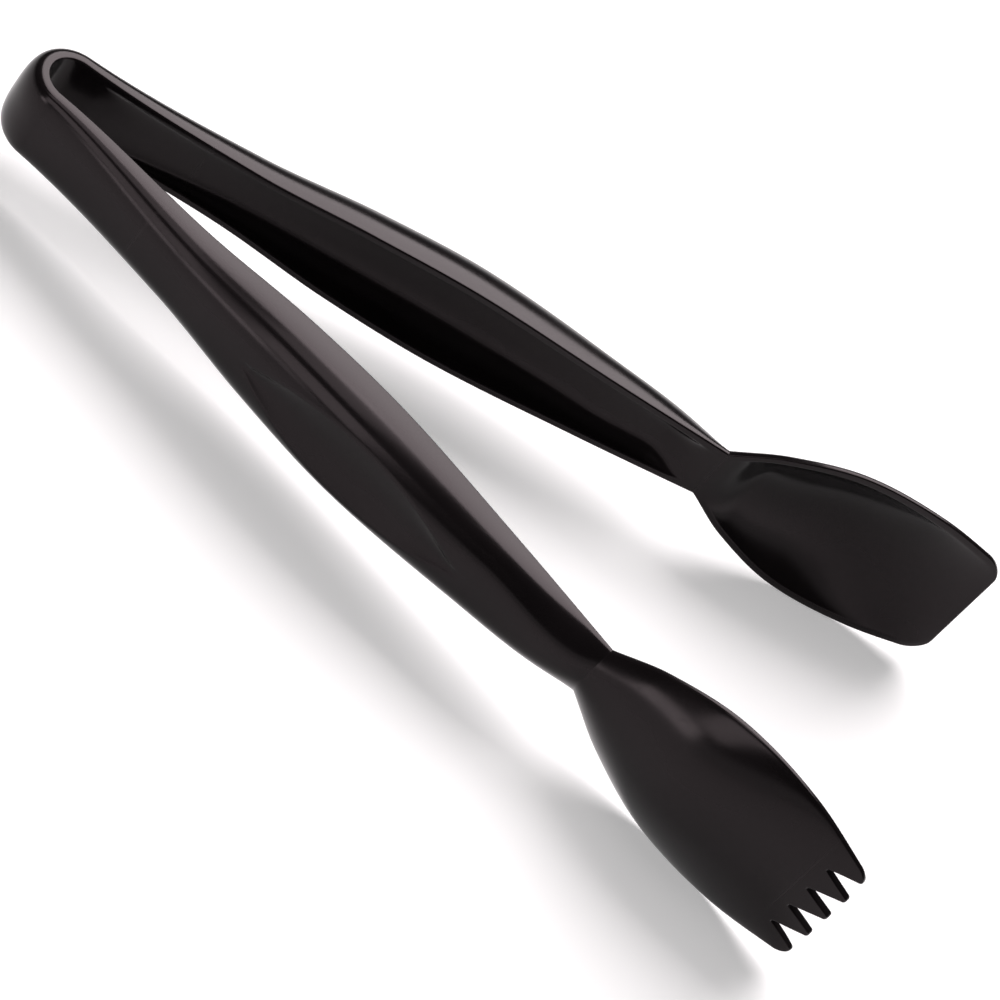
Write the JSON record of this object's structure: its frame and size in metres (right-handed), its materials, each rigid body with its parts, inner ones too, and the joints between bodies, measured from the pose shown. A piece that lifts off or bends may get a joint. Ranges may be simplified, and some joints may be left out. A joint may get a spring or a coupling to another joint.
{
  "type": "serving tongs",
  "caption": "One-piece moulded salad tongs: a U-shaped spring bow, two channelled arms with thumb dishes, a tined fork head and a square-ended spoon head.",
  "frame": {"origin": "centre of the bow's inner cylinder, halfway across the width", "axes": "+X along the tongs towards the tips, +Y towards the spoon arm, +Z across the width; the tongs lie on their side edges"},
  "size_m": [0.2287, 0.0999, 0.0418],
  "materials": {
    "black_plastic": "gloss-moulded polycarbonate, near black"
  },
  "bodies": {
    "bow": {"spring_bow": "black_plastic"},
    "fork_side": {"fork_arm": "black_plastic", "fork_bowl": "black_plastic", "fork_tines": "black_plastic"},
    "spoon_side": {"spoon_arm": "black_plastic", "spoon_bowl": "black_plastic"}
  },
  "joints": [
    {"name": "fork_close", "type": "hinge", "parent": "bow", "child": "fork_side", "pos_m": [0.008, -0.0082, 0], "axis": [0, 0, 1], "range_deg": [0, 13], "stiffness_Nm_per_rad": 6, "deforming": ["spring_bow"]},
    {"name": "spoon_close", "type": "hinge", "parent": "bow", "child": "spoon_side", "pos_m": [0.008, 0.0082, 0], "axis": [0, 0, 1], "range_deg": [-13, 0], "stiffness_Nm_per_rad": 6, "deforming": ["spring_bow"]}
  ],
  "couplings": [
    {"joint": "spoon_close", "follows": "fork_close", "ratio": -1}
  ]
}
